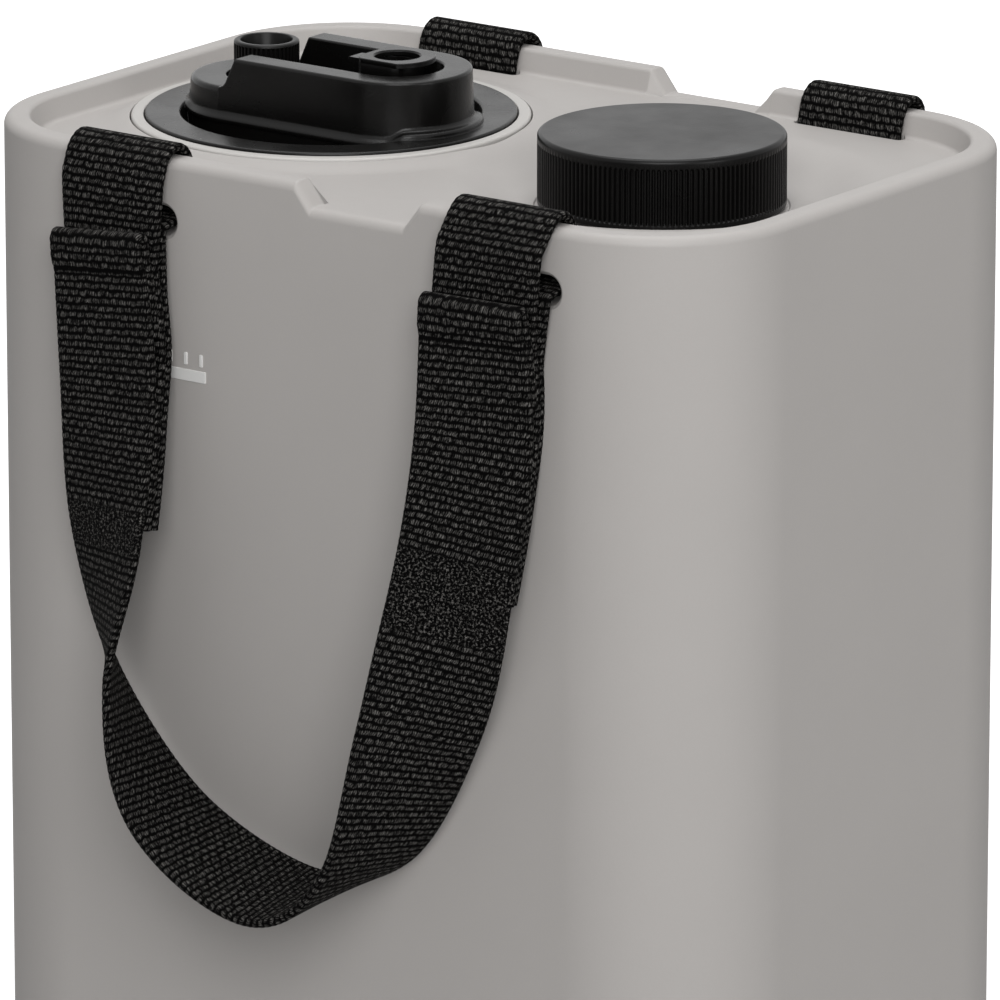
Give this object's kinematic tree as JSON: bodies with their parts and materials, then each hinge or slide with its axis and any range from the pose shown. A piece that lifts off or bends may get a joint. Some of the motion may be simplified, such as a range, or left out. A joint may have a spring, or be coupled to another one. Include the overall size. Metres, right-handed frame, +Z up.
{
  "type": "camp water container",
  "caption": "Rigid upright jug with a screw lid that carries a vent knob, quick coupling and dip tube, a small ribbed fill cap, and a webbing carry handle front and rear.",
  "frame": {"origin": "middle of the base, on the surface the jug stands on", "axes": "+Z up, +X along the long side towards the fill cap, the front faces -Y"},
  "size_m": [0.222, 0.214, 0.3809],
  "materials": {
    "body_plastic": "warm light grey, fine matte mould texture",
    "ring_plastic": "light grey, satin",
    "black_plastic": "black, satin moulded",
    "black_webbing": "black woven webbing",
    "dark_rubber": "dark grey, smooth",
    "clear_tube": "cloudy flexible tube",
    "spring_steel": "bare spring wire"
  },
  "bodies": {
    "tank": {"tank": "body_plastic", "mouth_collar": "ring_plastic"},
    "lid_lift": {"lid_gasket": "dark_rubber"},
    "lid": {"lid_shell": "black_plastic", "coupling_body": "black_plastic", "coupling_seal": "dark_rubber", "coupling_nut": "black_plastic", "latch_spring": "spring_steel", "poppet_spring": "spring_steel", "tube_barb": "black_plastic", "dip_tube": "clear_tube", "intake_strainer": "black_plastic"},
    "latch": {"coupling_latch": "black_plastic"},
    "poppet": {"valve_poppet": "ring_plastic"},
    "vent_lift": {"vent_seal": "dark_rubber"},
    "vent": {"vent_knob": "black_plastic"},
    "cap_lift": {"cap_liner": "dark_rubber"},
    "cap": {"fill_cap": "black_plastic"},
    "front_handle": {"front_handle_webbing": "black_webbing", "front_left_anchor": "black_webbing", "front_right_anchor": "black_webbing"},
    "rear_handle": {"rear_handle_webbing": "black_webbing", "rear_left_anchor": "black_webbing", "rear_right_anchor": "black_webbing"}
  },
  "joints": [
    {"name": "lid_rise", "type": "slide", "parent": "tank", "child": "lid_lift", "axis": [0, 0, 1], "range_m": [0, 0.0165]},
    {"name": "lid_turn", "type": "hinge", "parent": "lid_lift", "child": "lid", "pos_m": [-0.0503, 0, 0.368], "axis": [0, 0, 1], "range_deg": [0, 990]},
    {"name": "vent_rise", "type": "slide", "parent": "lid", "child": "vent_lift", "axis": [0, 0, 1], "range_m": [0, 0.0015]},
    {"name": "vent_turn", "type": "hinge", "parent": "vent_lift", "child": "vent", "pos_m": [-0.07, 0, 0.368], "axis": [0, 0, 1], "range_deg": [0, 360]},
    {"name": "latch_press", "type": "slide", "parent": "lid", "child": "latch", "axis": [1, 0, 0], "range_m": [0, 0.0016], "stiffness_N_per_m": 900, "deforming": ["latch_spring"]},
    {"name": "poppet_open", "type": "slide", "parent": "lid", "child": "poppet", "axis": [0, 0, -1], "range_m": [0, 0.003], "stiffness_N_per_m": 600, "deforming": ["poppet_spring"]},
    {"name": "cap_rise", "type": "slide", "parent": "tank", "child": "cap_lift", "axis": [0, 0, 1], "range_m": [0, 0.01375]},
    {"name": "cap_turn", "type": "hinge", "parent": "cap_lift", "child": "cap", "pos_m": [0.0484, 0, 0.368], "axis": [0, 0, 1], "range_deg": [0, 990]},
    {"name": "front_handle_swing", "type": "hinge", "parent": "tank", "child": "front_handle", "pos_m": [0, -0.071, 0.36], "axis": [-1, 0, 0], "range_deg": [0, 185], "deforming": ["front_left_anchor", "front_right_anchor"]},
    {"name": "rear_handle_swing", "type": "hinge", "parent": "tank", "child": "rear_handle", "pos_m": [0, 0.071, 0.36], "axis": [1, 0, 0], "range_deg": [0, 185], "deforming": ["rear_left_anchor", "rear_right_anchor"]}
  ],
  "couplings": [
    {"joint": "lid_turn", "follows": "lid_rise", "rad_per_m": 1047.2},
    {"joint": "cap_turn", "follows": "cap_rise", "rad_per_m": 1256.6},
    {"joint": "vent_turn", "follows": "vent_rise", "rad_per_m": 4188.8}
  ]
}
